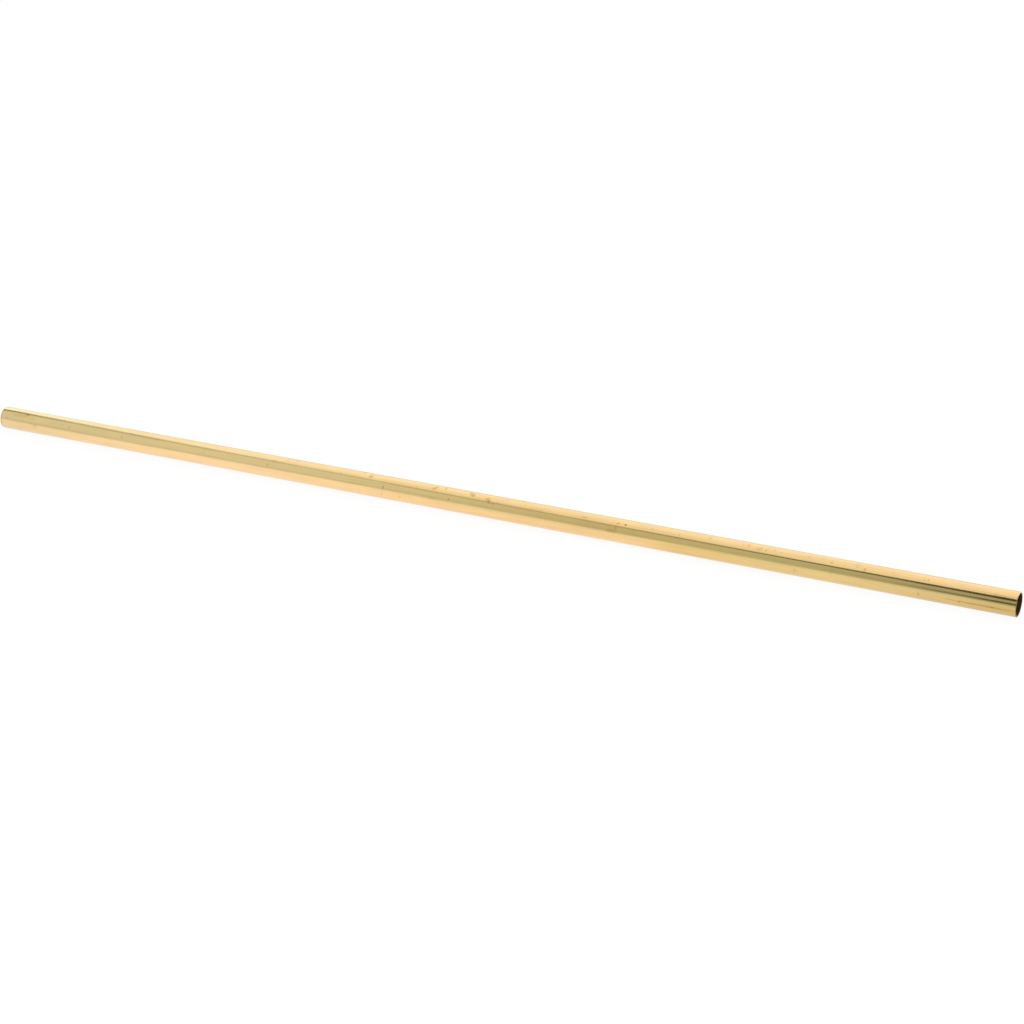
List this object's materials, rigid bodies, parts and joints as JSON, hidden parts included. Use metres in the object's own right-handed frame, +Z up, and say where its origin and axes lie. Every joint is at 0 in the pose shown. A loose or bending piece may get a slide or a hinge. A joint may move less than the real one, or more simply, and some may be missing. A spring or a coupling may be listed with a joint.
{
  "type": "brass tube",
  "caption": "Straight thin-walled round brass tube, open and square-cut at both ends, that carries fluid, takes end fittings or sleeves over a rod.",
  "frame": {"origin": "on the level surface that the tube lies on, midway between its two cut ends and straight below its axis", "axes": "+X along the tube towards the open end that the picture shows, +Z up from the surface"},
  "size_m": [0.3048, 0.0064, 0.0063],
  "materials": {
    "brass": "bright drawn brass, smooth and mirror-like, with faint lengthwise draw lines, a few small brown tarnish spots and a dull dark bore"
  },
  "bodies": {
    "root": {"tube": "brass"}
  },
  "joints": []
}
